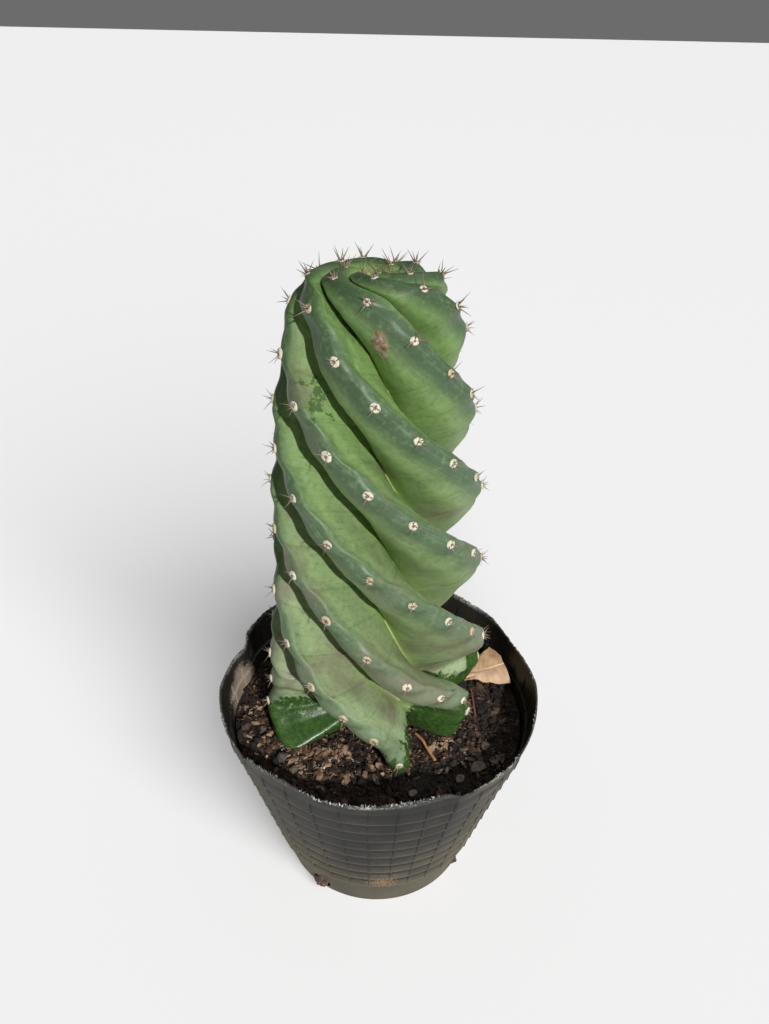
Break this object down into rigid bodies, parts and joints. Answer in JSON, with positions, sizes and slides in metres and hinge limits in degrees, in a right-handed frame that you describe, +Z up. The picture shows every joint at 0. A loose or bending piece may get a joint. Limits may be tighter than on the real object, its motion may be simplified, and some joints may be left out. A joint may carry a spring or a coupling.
{
  "type": "potted spiral cactus",
  "caption": "Column cactus with deep ribs that spiral to the left, spines along each rib, in a thin black plastic nursery pot filled with potting mix.",
  "frame": {"origin": "middle of the pot's flat underside, on the surface that it stands on", "axes": "+Z up the plant, -Y towards the viewer of the picture, +X to the viewer's right"},
  "size_m": [0.1984, 0.2003, 0.4156],
  "materials": {
    "pot_plastic": "satin",
    "potting_mix": "matte",
    "cactus_skin": "satin",
    "dry_leaf": "matte",
    "orange_wood": "matte",
    "red_wood": "matte",
    "bark": "matte",
    "stone": "matte"
  },
  "bodies": {
    "root": {"pot": "pot_plastic", "soil": "potting_mix", "cactus": "cactus_skin", "dry_leaf": "dry_leaf", "orange_twig": "orange_wood", "red_stick": "red_wood", "bark_chip_1": "bark", "bark_chip_2": "bark", "bark_chip_3": "bark", "bark_chip_4": "bark", "bark_chip_5": "bark", "bark_chip_6": "bark", "pebble_1": "stone", "pebble_2": "stone", "pebble_3": "stone", "pebble_4": "stone"}
  },
  "joints": []
}
